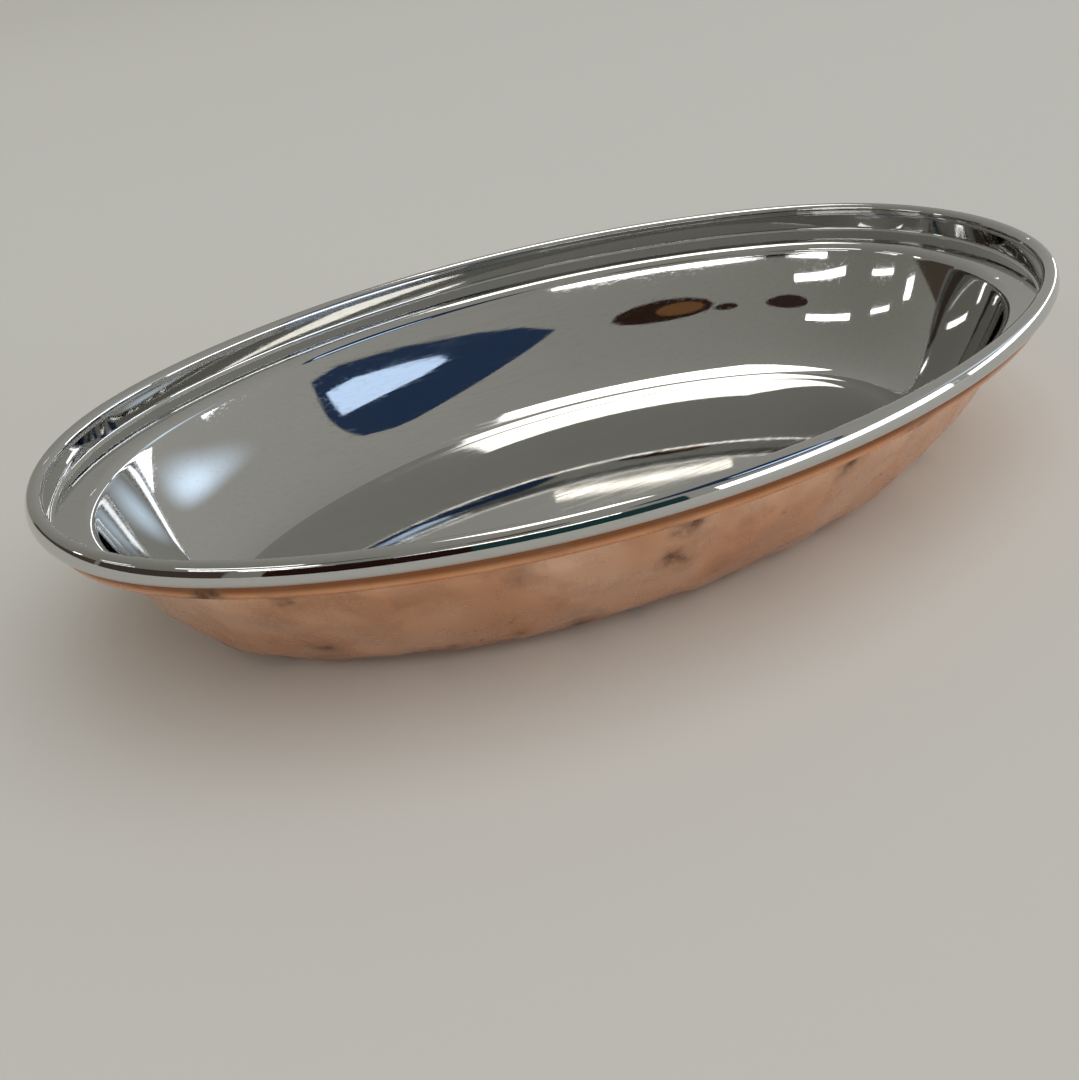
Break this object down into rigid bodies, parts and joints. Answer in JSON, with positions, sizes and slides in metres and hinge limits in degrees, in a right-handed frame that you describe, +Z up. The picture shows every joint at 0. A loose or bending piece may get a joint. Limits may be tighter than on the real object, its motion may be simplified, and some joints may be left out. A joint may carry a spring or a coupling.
{
  "type": "oval double-walled serving dish",
  "caption": "Oval serving dish: mirror-polished steel liner with a shouldered rolled rim, nested in a hammered copper shell that stands on a flat base.",
  "frame": {"origin": "middle of the flat standing face under the copper shell, which is the bottom centre of the dish's box", "axes": "+X along the dish's length, +Y across its width, +Z up out of the open side"},
  "size_m": [0.3, 0.2, 0.052],
  "materials": {
    "polished_steel": "polished",
    "hammered_copper": "satin"
  },
  "bodies": {
    "root": {"steel_liner": "polished_steel", "copper_shell": "hammered_copper"}
  },
  "joints": []
}
